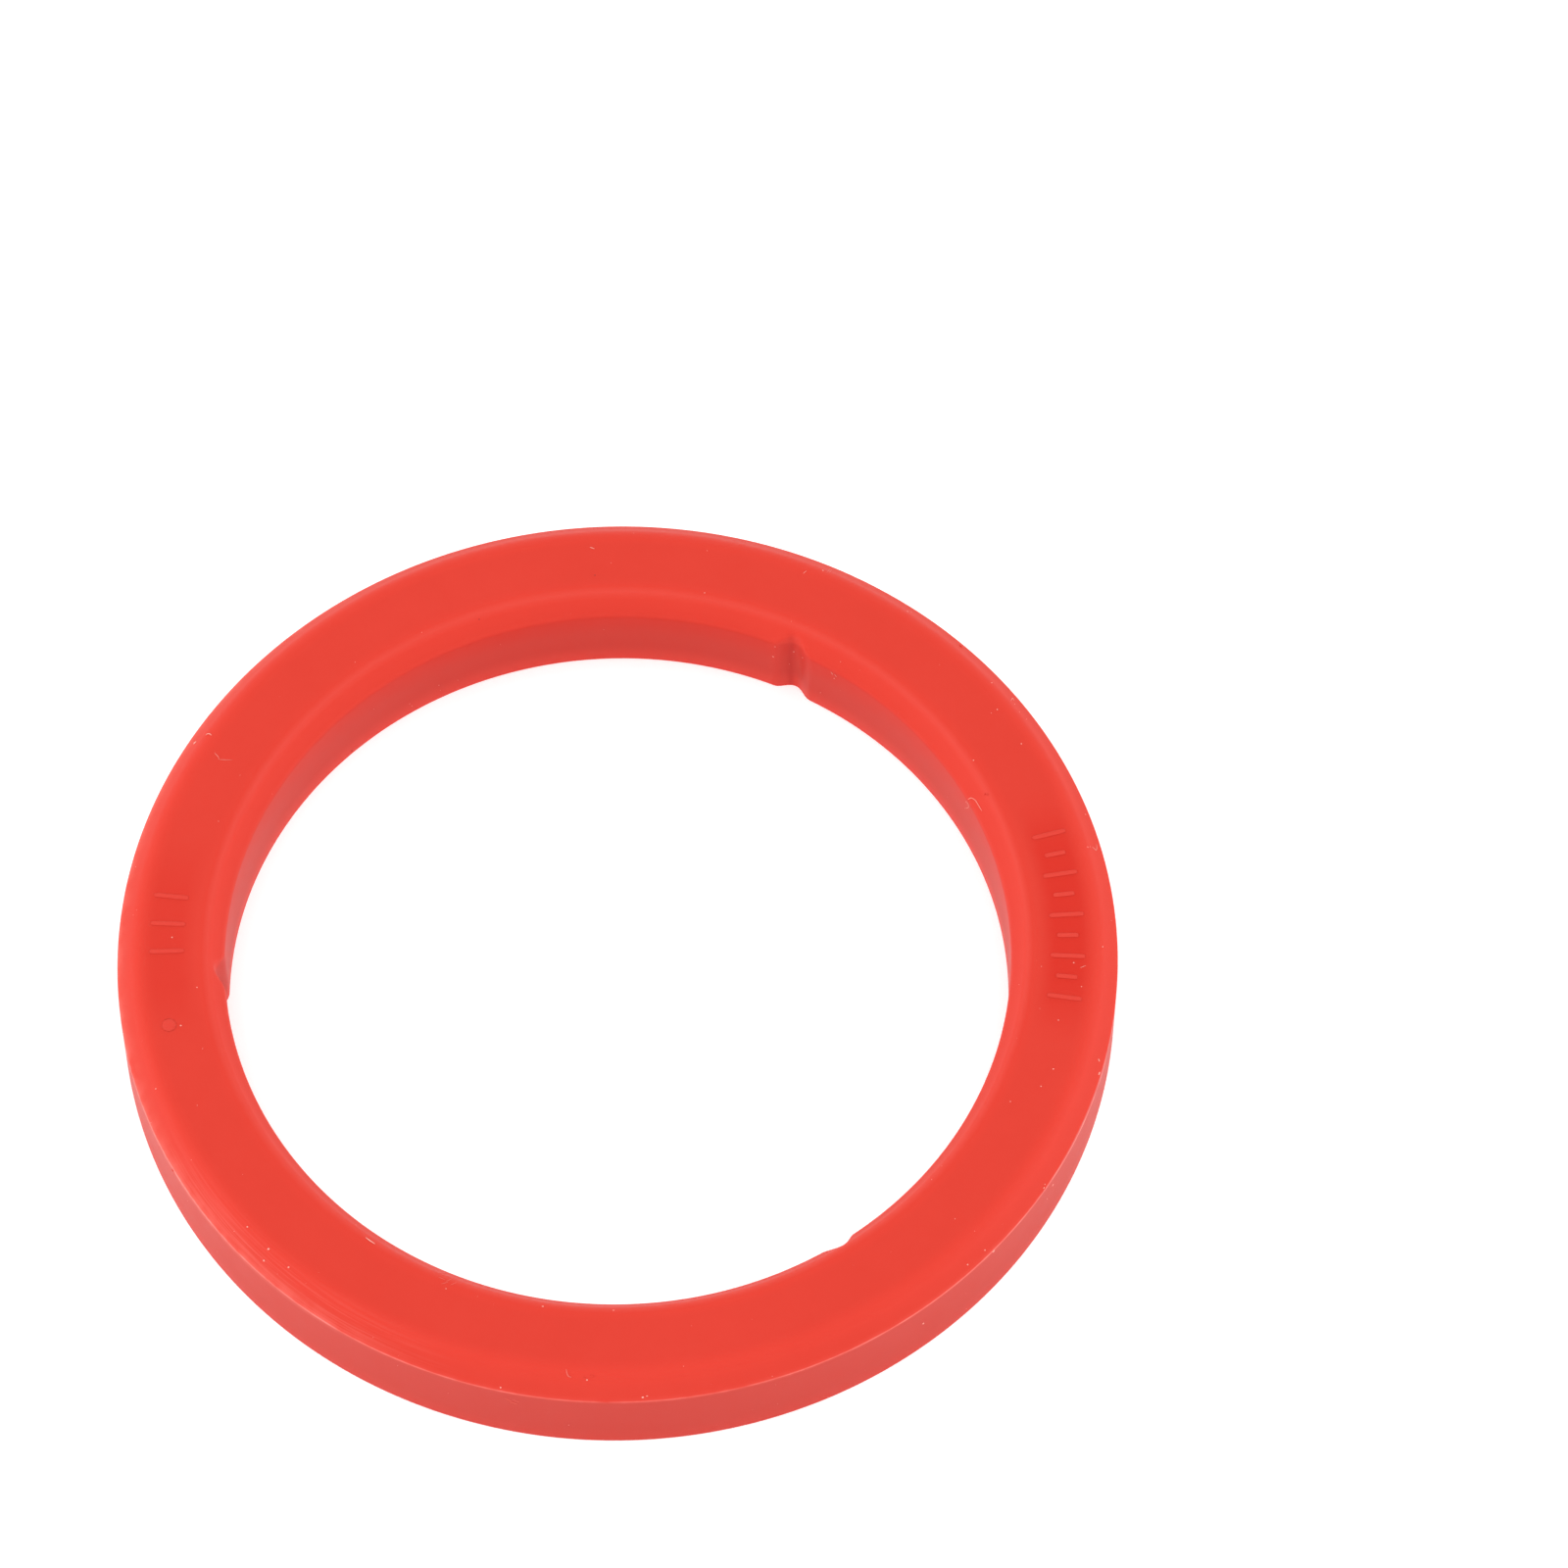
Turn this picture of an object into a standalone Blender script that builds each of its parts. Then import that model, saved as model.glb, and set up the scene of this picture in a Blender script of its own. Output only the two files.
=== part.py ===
"""A group head gasket: one moulded silicone ring that seals a brewing head against its filter holder.

The ring lies flat with its chamfered face up. Its underside is at z = 0 and its centre is the origin.
All sizes are in metres.
"""

import math

import bmesh
import bpy
from mathutils import Matrix, Vector

# Driving sizes of the turned section. The band that fills the seat keeps its width, so the bore follows
OUTER_DIAMETER = 0.073
RING_WIDTH = 0.0078
THICKNESS = 0.008
BORE_DIAMETER = OUTER_DIAMETER - 2 * RING_WIDTH

# Chamfers on the upper face, as width along the face and height down the wall
OUTER_CHAMFER_WIDTH = 0.0015
OUTER_CHAMFER_HEIGHT = 0.0015
BORE_CHAMFER_WIDTH = 0.0012
BORE_CHAMFER_HEIGHT = 0.0017

# Rounding where the section turns a corner
OUTER_RIDGE_RADIUS = 0.0016
BORE_RIDGE_RADIUS = 0.0011
SHOULDER_RADIUS = 0.0003
BASE_EDGE_RADIUS = 0.00035
RIDGE_ARC_STEPS = 5
SHOULDER_ARC_STEPS = 2
BASE_ARC_STEPS = 2

# Release grooves that run up the bore, spaced evenly round it
GROOVE_COUNT = 3
GROOVE_WIDTH = 0.00325
GROOVE_DEPTH = 0.0007
FIRST_GROOVE_ANGLE = math.radians(64)
GROOVE_STEPS = 18

# How far a groove's cutter reaches past the material that it cuts
CUTTER_FOOT = 0.00003
CUTTER_BACK = 0.001
CUTTER_MARGIN = 0.001

RING_STEPS = 120
SMOOTH_ANGLE = math.radians(24)

SILICONE_COLOUR = (0.80, 0.055, 0.035, 1.0)
SILICONE_ROUGHNESS = 0.42


def clear_scene():
    for obj in list(bpy.data.objects):
        bpy.data.objects.remove(obj, do_unlink=True)


def new_collection(name):
    collection = bpy.data.collections.new(name)
    bpy.context.scene.collection.children.link(collection)
    return collection


def silicone_material():
    """Satin red silicone rubber."""
    material = bpy.data.materials.new("red_silicone")
    material.use_nodes = True
    shader = material.node_tree.nodes["Principled BSDF"]
    shader.inputs["Base Color"].default_value = SILICONE_COLOUR
    shader.inputs["Roughness"].default_value = SILICONE_ROUGHNESS
    shader.inputs["Metallic"].default_value = 0.0
    material.diffuse_color = SILICONE_COLOUR
    return material


def rounded_corner(before, corner, after, radius, steps):
    """The arc that rounds a corner between two straight sides, as steps + 1 points."""
    to_before = (before - corner).normalized()
    to_after = (after - corner).normalized()
    half_angle = to_before.angle(to_after) / 2
    centre = corner + (to_before + to_after).normalized() * radius / math.sin(half_angle)
    reach = radius / math.tan(half_angle)
    start = corner + to_before * reach - centre
    end = corner + to_after * reach - centre
    turn = start.angle_signed(end)
    return [centre + Matrix.Rotation(-turn * step / steps, 2) @ start for step in range(steps + 1)]


def ring_section():
    """The closed section at +X as (radius, height) points, down the outer side and back up the bore."""
    outer = OUTER_DIAMETER / 2
    bore = BORE_DIAMETER / 2
    corners = [
        (bore + BORE_CHAMFER_WIDTH, THICKNESS, BORE_RIDGE_RADIUS, RIDGE_ARC_STEPS),
        (outer - OUTER_CHAMFER_WIDTH, THICKNESS, OUTER_RIDGE_RADIUS, RIDGE_ARC_STEPS),
        (outer, THICKNESS - OUTER_CHAMFER_HEIGHT, SHOULDER_RADIUS, SHOULDER_ARC_STEPS),
        (outer, 0.0, BASE_EDGE_RADIUS, BASE_ARC_STEPS),
        (bore, 0.0, BASE_EDGE_RADIUS, BASE_ARC_STEPS),
        (bore, THICKNESS - BORE_CHAMFER_HEIGHT, SHOULDER_RADIUS, SHOULDER_ARC_STEPS),
    ]
    section = []
    for index, (radius, height, rounding, steps) in enumerate(corners):
        before = Vector(corners[index - 1][:2])
        after = Vector(corners[(index + 1) % len(corners)][:2])
        section += rounded_corner(before, Vector((radius, height)), after, rounding, steps)
    return section


def turned_ring(name, collection, material):
    """The section swept once round the Z axis."""
    section = ring_section()
    mesh = bpy.data.meshes.new(name)
    points = [(point.x, 0.0, point.y) for point in section]
    edges = [(index, (index + 1) % len(points)) for index in range(len(points))]
    mesh.from_pydata(points, edges, [])
    mesh.materials.append(material)
    ring = bpy.data.objects.new(name, mesh)
    collection.objects.link(ring)
    sweep = ring.modifiers.new("turn", "SCREW")
    sweep.axis = "Z"
    sweep.angle = 2 * math.pi
    sweep.steps = RING_STEPS
    sweep.render_steps = RING_STEPS
    sweep.use_merge_vertices = True
    sweep.merge_threshold = 0.00001
    return ring


def groove_outline():
    """A groove seen from above: a smooth swell out of the bore line, closed by a straight back inside it."""
    bore = BORE_DIAMETER / 2
    swell = GROOVE_DEPTH + CUTTER_FOOT
    # The swell starts a little inside the bore, so its foot is wider than its mouth
    mouth_turn = math.acos(2 * CUTTER_FOOT / swell - 1) / math.pi
    foot_half_angle = GROOVE_WIDTH / 2 / mouth_turn / bore
    points = []
    for step in range(GROOVE_STEPS + 1):
        turn = 2 * step / GROOVE_STEPS - 1
        radius = bore - CUTTER_FOOT + swell * (1 + math.cos(math.pi * turn)) / 2
        angle = turn * foot_half_angle
        points.append((radius * math.cos(angle), radius * math.sin(angle)))
    back = bore - CUTTER_FOOT - CUTTER_BACK
    for side in (1, -1):
        angle = side * foot_half_angle
        points.append((back * math.cos(angle), back * math.sin(angle)))
    return points


def groove_cutter(name, angle, collection):
    """The groove's outline as a filled curve, extruded past both faces and turned into a closed mesh."""
    curve = bpy.data.curves.new(name, "CURVE")
    curve.dimensions = "2D"
    curve.fill_mode = "BOTH"
    curve.extrude = THICKNESS / 2 + CUTTER_MARGIN
    outline = groove_outline()
    spline = curve.splines.new("POLY")
    spline.points.add(len(outline) - 1)
    spline.use_cyclic_u = True
    for point, (x, y) in zip(spline.points, outline):
        point.co = (x, y, 0.0, 1.0)
    guide = bpy.data.objects.new(name + "_outline", curve)
    collection.objects.link(guide)
    guide.location = (0.0, 0.0, THICKNESS / 2)
    guide.rotation_euler = (0.0, 0.0, angle)
    bpy.context.view_layer.update()

    evaluated = guide.evaluated_get(bpy.context.evaluated_depsgraph_get())
    mesh = bpy.data.meshes.new_from_object(evaluated)
    solid = bmesh.new()
    solid.from_mesh(mesh)
    bmesh.ops.remove_doubles(solid, verts=solid.verts, dist=0.000001)
    bmesh.ops.recalc_face_normals(solid, faces=solid.faces)
    solid.to_mesh(mesh)
    solid.free()
    cutter = bpy.data.objects.new(name, mesh)
    collection.objects.link(cutter)
    cutter.matrix_world = guide.matrix_world.copy()
    bpy.data.objects.remove(guide, do_unlink=True)
    cutter.hide_render = True
    cutter.display_type = "WIRE"
    return cutter


def cut(ring, cutter):
    groove = ring.modifiers.new(cutter.name, "BOOLEAN")
    groove.operation = "DIFFERENCE"
    groove.solver = "EXACT"
    groove.object = cutter


def settle(ring):
    """The cut ring as a plain mesh, smooth but for its crisp edges."""
    bpy.context.view_layer.update()
    evaluated = ring.evaluated_get(bpy.context.evaluated_depsgraph_get())
    mesh = bpy.data.meshes.new_from_object(evaluated)
    section = ring.data
    ring.modifiers.clear()
    ring.data = mesh
    bpy.data.meshes.remove(section)
    mesh.name = ring.name
    mesh.shade_smooth()
    mesh.set_sharp_from_angle(angle=SMOOTH_ANGLE)


def main():
    clear_scene()
    gasket = new_collection("group_head_gasket")
    cutters = new_collection("cutters")
    cutters.hide_render = True
    ring = turned_ring("gasket_ring", gasket, silicone_material())
    for number in range(GROOVE_COUNT):
        angle = FIRST_GROOVE_ANGLE + 2 * math.pi * number / GROOVE_COUNT
        cut(ring, groove_cutter(f"groove_cutter_{number + 1}", angle, cutters))
    settle(ring)


main()
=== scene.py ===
# %% [markdown]
# # A moulded silicone group gasket
# This gasket is one ring of red silicone rubber. It drops into a groove in a brewing head, chamfered face first,
# and the filter holder's rim presses on its flat underside. Nothing on it moves, so every piece of the picture
# rides on one body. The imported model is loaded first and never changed: it says where the ring is and how big.

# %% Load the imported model
import math

import bpy
import numpy as np
from mathutils import Matrix, Vector
from mathutils.bvhtree import BVHTree


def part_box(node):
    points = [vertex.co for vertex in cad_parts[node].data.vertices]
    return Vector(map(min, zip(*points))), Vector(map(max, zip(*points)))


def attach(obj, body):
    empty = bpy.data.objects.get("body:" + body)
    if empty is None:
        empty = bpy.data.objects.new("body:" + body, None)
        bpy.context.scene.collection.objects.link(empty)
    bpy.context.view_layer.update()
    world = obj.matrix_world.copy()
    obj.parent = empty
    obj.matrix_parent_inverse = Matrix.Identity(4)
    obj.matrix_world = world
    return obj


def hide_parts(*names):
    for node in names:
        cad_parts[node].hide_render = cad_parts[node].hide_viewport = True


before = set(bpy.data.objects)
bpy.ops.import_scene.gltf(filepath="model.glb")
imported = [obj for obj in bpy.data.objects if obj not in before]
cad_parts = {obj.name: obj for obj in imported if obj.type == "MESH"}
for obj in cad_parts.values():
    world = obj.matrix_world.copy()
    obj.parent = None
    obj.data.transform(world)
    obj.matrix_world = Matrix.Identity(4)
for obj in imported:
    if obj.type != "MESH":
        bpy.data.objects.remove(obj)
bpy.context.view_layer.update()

_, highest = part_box("gasket_ring")
OUTER_RADIUS = highest.x
HEIGHT = highest.z
print(f"ring: {OUTER_RADIUS * 2000:.1f} mm across, {HEIGHT * 1000:.1f} mm high")

# %% [markdown]
# ## One way to write node trees
# A node tree is a sum with boxes round its terms. A small class can hold one output socket and answer to + - * /,
# so that a rule reads as it would on paper and each sign adds a Math node. The same class serves the shader and
# the geometry trees, because both use the same Math node.

# %% Wires that can be added and multiplied
class Wire:
    """One output socket of a node, ready for sums."""

    def __init__(self, net, socket):
        self.net = net
        self.socket = socket

    def sum(self, operation, *others):
        """A Math node of one operation, with this wire as its first value."""
        return self.net.add("ShaderNodeMath", {"operation": operation}, dict(enumerate((self, *others))))

    def __add__(self, other):
        return self.sum("ADD", other)

    def __mul__(self, other):
        return self.sum("MULTIPLY", other)

    def __sub__(self, other):
        return self.sum("SUBTRACT", other)

    def __truediv__(self, other):
        return self.sum("DIVIDE", other)

    def __rsub__(self, other):
        return self.net.add("ShaderNodeMath", {"operation": "SUBTRACT"}, {0: other, 1: self})

    def __rtruediv__(self, other):
        return self.net.add("ShaderNodeMath", {"operation": "DIVIDE"}, {0: other, 1: self})

    __radd__ = __add__
    __rmul__ = __mul__


class Net:
    """A node tree with one way to add a node."""

    def __init__(self, tree):
        self.tree = tree

    def add(self, kind, settings=None, inputs=None, out=0):
        """Adds a node, sets it up, fills its sockets with values or wires, and returns one of its outputs."""
        node = self.tree.nodes.new(kind)
        for name, value in (settings or {}).items():
            setattr(node, name, value)
        for key, value in (inputs or {}).items():
            socket = self.socket(node.inputs, key)
            if isinstance(value, Wire):
                self.tree.links.new(value.socket, socket)
            else:
                socket.default_value = value
        return Wire(self, self.socket(node.outputs, out)) if len(node.outputs) else None

    @staticmethod
    def socket(sockets, key):
        """A socket by its number, or the live one by its name."""
        if isinstance(key, int):
            return sockets[key]
        return next(socket for socket in sockets if socket.name == key and socket.enabled)

    def other(self, wire, out):
        """Another output of the node that a wire comes from."""
        return Wire(self, self.socket(wire.socket.node.outputs, out))


print("node helpers ready")

# %% [markdown]
# ## Look at it as the photographer did
# The photograph was taken from well above with a long lens. Fitting two circles of known height to its outlines
# gave the camera's elevation, its small roll, its distance and its lens, and how far off its aim the ring lay.
# The camera is built from three unit directions, so that the same three also turn a pixel into a line of sight
# later on.

# %% Camera
ELEVATION = math.radians(59.70)
ROLL = math.radians(-0.38)
DISTANCE = 0.54679
ASIDE, ABOVE = 0.01215, 0.01533
LENS, SENSOR = 170.22, 36.0
NEAREST, FARTHEST = 0.01, 20

flat_right = Vector((1, 0, 0))
flat_up = Vector((0, math.sin(ELEVATION), math.cos(ELEVATION)))
camera_back = Vector((0, -math.cos(ELEVATION), math.sin(ELEVATION)))
camera_right = flat_right * math.cos(ROLL) - flat_up * math.sin(ROLL)
camera_up = flat_right * math.sin(ROLL) + flat_up * math.cos(ROLL)
camera_place = camera_right * ASIDE + camera_up * ABOVE + camera_back * DISTANCE

lens = bpy.data.cameras.new("studio_camera")
lens.lens = LENS
lens.sensor_width = SENSOR
lens.clip_start = NEAREST
lens.clip_end = FARTHEST
camera = bpy.data.objects.new("studio_camera", lens)
bpy.context.scene.collection.objects.link(camera)
turn = Matrix((camera_right, camera_up, camera_back)).transposed().to_4x4()
camera.matrix_world = Matrix.Translation(camera_place) @ turn
bpy.context.scene.camera = camera
print(f"camera {DISTANCE * 1000:.0f} mm away, {math.degrees(ELEVATION):.1f} degrees up, {LENS:.0f} mm lens")

# %% [markdown]
# ## A bright, even studio
# A small product on white is lit from all round, with two large soft boxes at its sides, so that its edges
# catch a little more light than its flats. The sky is one plain colour and the floor is nearly white, because
# it throws light back up at the ring's walls. It is lit a little from beneath too, like a light table, so that
# the ring throws hardly any red on it. The colours are shown as they are, with no film curve over them.

# %% Sky, soft boxes and floor
SKY = 1.177
FLOOR_GLOW = 0.27
BOX_DISTANCE = 0.62
BOX_SIDE = 0.50
# The heading and rise of each box in degrees, and its power in watts
SOFT_BOXES = {
    "soft_box_left": (180, 20, 1.71),
    "soft_box_right": (0, 20, 1.32),
    "soft_box_over_camera": (270, 62, 0.38),
    "soft_box_in_front": (270, 25, 0.20),
}
FLOOR_RADIUS = 4.0
FLOOR_POINTS = 64
PAPER_WHITE = (0.93, 0.93, 0.93, 1)

scene = bpy.context.scene
scene.view_settings.view_transform = "Standard"
scene.view_settings.look = "None"

sky = bpy.data.worlds.new("studio_sky")
sky.use_nodes = True
sky.node_tree.nodes["Background"].inputs["Color"].default_value = (1, 1, 1, 1)
sky.node_tree.nodes["Background"].inputs["Strength"].default_value = SKY
scene.world = sky


def soft_box(name, heading, rise, power):
    """A square soft light, aimed at the ring from a heading and a rise in degrees."""
    light = bpy.data.lights.new(name, "AREA")
    light.shape = "SQUARE"
    light.size = BOX_SIDE
    light.energy = power
    box = bpy.data.objects.new(name, light)
    heading, rise = math.radians(heading), math.radians(rise)
    away = Vector((math.cos(heading) * math.cos(rise), math.sin(heading) * math.cos(rise), math.sin(rise)))
    box.location = away * BOX_DISTANCE
    box.rotation_mode = "QUATERNION"
    box.rotation_quaternion = away.to_track_quat("Z", "Y")
    scene.collection.objects.link(box)


for name, (heading, rise, power) in SOFT_BOXES.items():
    soft_box(name, heading, rise, power)

floor_turns = np.linspace(0, 2 * math.pi, FLOOR_POINTS, False)
floor_edge = [(FLOOR_RADIUS * math.cos(turn), FLOOR_RADIUS * math.sin(turn), 0) for turn in floor_turns]
floor_mesh = bpy.data.meshes.new("studio_floor")
floor_mesh.from_pydata(floor_edge, [], [tuple(range(len(floor_edge)))])
floor = bpy.data.objects.new("studio_floor", floor_mesh)
scene.collection.objects.link(floor)

paper = bpy.data.materials.new("white_paper")
paper.use_nodes = True
paper_shader = paper.node_tree.nodes["Principled BSDF"]
paper_shader.inputs["Base Color"].default_value = PAPER_WHITE
paper_shader.inputs["Roughness"].default_value = 0.9
paper_shader.inputs["Specular IOR Level"].default_value = 0.1
paper_shader.inputs["Emission Color"].default_value = (1, 1, 1, 1)
paper_shader.inputs["Emission Strength"].default_value = FLOOR_GLOW
floor_mesh.materials.append(paper)
print(f"{len(SOFT_BOXES)} soft boxes, and a floor {FLOOR_RADIUS * 2:.0f} m across")

# %% [markdown]
# ## The ring's section
# A moulded ring is one outline turned round an axis. This one has a flat base, plain walls, and a chamfer on each
# upper edge, with soft ridges where they meet the flat. The outline could be drawn by hand, but working it out from
# its corners and their roundings keeps each size a number with a name. Extra points on the straight sides keep the
# smooth shading even, and let the release grooves bend the bore's side cleanly.

# %% Corners, their roundings and the grooves
WIDTH = 0.0078
BORE_RADIUS = OUTER_RADIUS - WIDTH
OUTER_CHAMFER = (0.0015, 0.0015)
BORE_CHAMFER = (0.0012, 0.0017)
OUTER_RIDGE = 0.0016
BORE_RIDGE = 0.0011
OUTER_SHOULDER = 0.00022
BORE_SHOULDER = 0.0012
BASE_EDGE = 0.00016
GROOVES = 3
GROOVE_WIDTH = 0.00325
GROOVE_DEPTH = 0.0007
FIRST_GROOVE = math.radians(64)
print(f"bore {BORE_RADIUS * 2000:.1f} mm, {GROOVES} grooves {GROOVE_DEPTH * 1000:.1f} mm deep")


def rounded(before, corner, after, radius, steps):
    """The arc that rounds a corner, as steps + 1 points."""
    to_before = (before - corner).normalized()
    to_after = (after - corner).normalized()
    half = to_before.angle(to_after) / 2
    centre = corner + (to_before + to_after).normalized() * radius / math.sin(half)
    reach = radius / math.tan(half)
    start = corner + to_before * reach - centre
    end = corner + to_after * reach - centre
    turn = start.angle_signed(end)
    return [centre + Matrix.Rotation(-turn * step / steps, 2) @ start for step in range(steps + 1)]


def straight(start, end, count):
    """Points between two others, closer together near both ends."""
    shares = [0.5 - 0.5 * math.cos(math.pi * step / (count + 1)) for step in range(1, count + 1)]
    return [start.lerp(end, share) for share in shares]


# %% The closed outline
# Each corner is (radius, height, rounding, arc steps, points on the side that leads away from it)
corners = [
    (BORE_RADIUS + BORE_CHAMFER[0], HEIGHT, BORE_RIDGE, 10, 10),
    (OUTER_RADIUS - OUTER_CHAMFER[0], HEIGHT, OUTER_RIDGE, 10, 5),
    (OUTER_RADIUS, HEIGHT - OUTER_CHAMFER[1], OUTER_SHOULDER, 4, 8),
    (OUTER_RADIUS, 0.0, BASE_EDGE, 5, 5),
    (BORE_RADIUS, 0.0, BASE_EDGE, 5, 8),
    (BORE_RADIUS, HEIGHT - BORE_CHAMFER[1], BORE_SHOULDER, 8, 8),
]


def ring_outline():
    """The closed outline as (radius, height) points, down the outside and back up the bore."""
    arcs = []
    for index, (radius, height, rounding, steps, _) in enumerate(corners):
        before = Vector(corners[index - 1][:2])
        after = Vector(corners[(index + 1) % len(corners)][:2])
        arcs.append(rounded(before, Vector((radius, height)), after, rounding, steps))
    outline = []
    for index, arc in enumerate(arcs):
        following = arcs[(index + 1) % len(arcs)]
        outline += arc + straight(arc[-1], following[0], corners[index][4])
    return outline


outline = ring_outline()
print(f"outline of {len(outline)} points")

# %% [markdown]
# ## Running a geometry tree
# Geometry Nodes normally stay live on an object. Here each tree is run once and its result kept as a plain
# mesh, so that a piece is exactly what was made and nothing can change it later. A tree's sizes are its named
# inputs, so each stays a number that can be changed in one place.

# %% A helper that runs a tree and keeps a plain mesh
def input_value(tree, name, kind, value):
    """Adds a named input to a tree, and returns its identifier with the value that it will get."""
    socket = tree.interface.new_socket(name=name, in_out="INPUT", socket_type=kind)
    return socket.identifier, value


def new_tree(name):
    """A geometry tree with its two geometry sockets, and the net that adds nodes to it."""
    tree = bpy.data.node_groups.new(name, "GeometryNodeTree")
    tree.interface.new_socket(name="Geometry", in_out="INPUT", socket_type="NodeSocketGeometry")
    tree.interface.new_socket(name="Geometry", in_out="OUTPUT", socket_type="NodeSocketGeometry")
    return tree, Net(tree)


def grow(name, start, tree, values):
    """Runs a tree on a mesh, with its inputs set, and returns the result as an object with a plain mesh."""
    piece = bpy.data.objects.new(name, start)
    scene.collection.objects.link(piece)
    modifier = piece.modifiers.new("grow", "NODES")
    modifier.node_group = tree
    for identifier, value in values:
        modifier[identifier] = value
    bpy.context.view_layer.update()
    mesh = bpy.data.meshes.new_from_object(piece.evaluated_get(bpy.context.evaluated_depsgraph_get()))
    piece.modifiers.clear()
    piece.data = mesh
    mesh.name = name
    return piece


print("tree helpers ready")

# %% [markdown]
# ## Red silicone
# Moulded silicone is satin: coloured right through, a little translucent, with a soft skin that scatters the
# reflections of the soft boxes. Its red is almost pure, so the shine has to stay low or the colour turns pink.
# The shader adds what the moulding leaves: faint clouds in the colour, a paler moulding line, and very fine
# turning marks from the mould, which run round the ring. It also paints light and shade into the colour: painted
# shade on the walls and in the grooves, painted light at the walls' feet and on one flank of each groove, and
# painted highlights along the ridges and the moulding line. All of it is worked out from the object's own
# coordinates.

# %% The red of each part, with painted light and shade on some, and how dull each part is
DEEP_RED = (0.532, 0.0324, 0.0185, 1)
CLEAR_RED = (0.574, 0.0389, 0.0241, 1)
# The walls are painted a darker red than the flats: painted shade, as the walls catch less light
OUTER_WALL_SHADED_RED = (0.440, 0.0255, 0.0145, 1)
BORE_WALL_SHADED_RED = (0.466, 0.0260, 0.0150, 1)
BORE_HEAD_RED = (0.498, 0.0175, 0.0065, 1)
# Painted light, as thrown up by the floor, for the walls' feet and for one flank of each groove
PAINTED_LIGHT_RED = (0.575, 0.0385, 0.0250, 1)
# Painted shade for the deepest line of each groove
GROOVE_SHADE_RED = (0.398, 0.0130, 0.0083, 1)
PANEL_RED = (0.518, 0.0185, 0.0093, 1)
# Painted highlight for the ridges between the flat and the chamfers
RIDGE_HIGHLIGHT_RED = (0.639, 0.0417, 0.0250, 1)
RAISED_RED = (0.579, 0.0417, 0.0278, 1)
PALE_RED = (0.741, 0.1760, 0.1480, 1)
FACE_ROUGHNESS = 0.52
CHAMFER_ROUGHNESS = 0.60
WALL_ROUGHNESS = 0.46
CLOUD_ROUGHNESS = 0.10
LINE_HEIGHT = HEIGHT - OUTER_CHAMFER[1]
WALL_TOP = HEIGHT - BORE_CHAMFER[1]
print(f"moulding line at {LINE_HEIGHT * 1000:.1f} mm, top of the bore's wall at {WALL_TOP * 1000:.1f} mm")

# %% [markdown]
# ## Rules to write the shader in
# A turned thing is told best by its radius, its height and the angle round it, so those are worked out first.
# Most rules then come down to two shapes: a step that is soft at both ends, and a band that fades to either
# side. Where a part of the ring fades, the two numbers are where the fade begins and where it ends, in metres.
# Where it is a band, they are its middle and its reach.

# %% Radius, height, angle, and the four rules
silicone = bpy.data.materials.new("red_silicone")
silicone.use_nodes = True
silicone.node_tree.nodes.clear()
net = Net(silicone.node_tree)

here = net.add("ShaderNodeTexCoord", out="Object")
x = net.add("ShaderNodeSeparateXYZ", {}, {0: here}, "X")
y, z = net.other(x, "Y"), net.other(x, "Z")
radius = (x * x + y * y).sum("SQRT")
angle = y.sum("ARCTAN2", x)

# A Mix node keeps sockets for every kind of value, so its colour sockets are found by place
MIX_A, MIX_B, MIX_RESULT = 6, 7, 2


def mottle(coordinates, scale, detail=2.0):
    """Soft noise from 0 to 1 at so many features a metre."""
    return net.add(
        "ShaderNodeTexNoise",
        {"noise_dimensions": "3D"},
        {"Vector": coordinates, "Scale": scale, "Detail": detail, "Roughness": 0.5},
        "Fac",
    )


def band(value, middle, reach):
    """1 in the middle, falling evenly to 0 at the reach to either side."""
    return (1 - ((value - middle).sum("ABSOLUTE") / reach)).sum("MAXIMUM", 0.0)


def ramp(value, start, end):
    """0 before the start, 1 past the end, and a soft step between."""
    return net.add(
        "ShaderNodeMapRange",
        {"interpolation_type": "SMOOTHSTEP"},
        {"Value": value, "From Min": start, "From Max": end, "To Min": 0.0, "To Max": 1.0},
    )


def mix(share, first, second):
    """A colour between two others."""
    return net.add(
        "ShaderNodeMix", {"data_type": "RGBA"}, {"Factor": share, MIX_A: first, MIX_B: second}, MIX_RESULT
    )


print("shader rules ready")

# %% Walls, ridges, and the foot and head of each wall
LARGE_CLOUDS, SMALL_CLOUDS = 90, 420
BORE_SIDE_FADE = (BORE_RADIUS + 0.0020, BORE_RADIUS + 0.0030)
BORE_WALL_LIFT = 0.0002
WALL_FADE = (WALL_TOP - 0.0002, LINE_HEIGHT + 0.00005)
SIDE_FADE = (LINE_HEIGHT, HEIGHT - 0.0002)
FOOT_FADE = (0.0001, 0.0023)
HEAD_FADE = (0.0032, WALL_TOP)
OUTER_FOOT_SHARE, MORE_IN_BORE = 0.35, 0.65
OUTER_RIDGE_BAND = (OUTER_RADIUS - OUTER_CHAMFER[0] - 0.00005, 0.0010)
BORE_RIDGE_BAND = (BORE_RADIUS + 0.0009, 0.0014)
RIDGE_LINE_BAND = (BORE_RADIUS + 0.00117, 0.00040)
BORE_RIDGE_SHARE = 1.15
RIDGE_HIGHLIGHT_SHARE = 0.35

clouds = mottle(here, LARGE_CLOUDS) * 0.6 + mottle(here, SMALL_CLOUDS) * 0.4
in_bore = 1 - ramp(radius, *BORE_SIDE_FADE)
wall = 1 - ramp(z + in_bore * BORE_WALL_LIFT, *WALL_FADE)
side = 1 - ramp(z, *SIDE_FADE)
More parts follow.
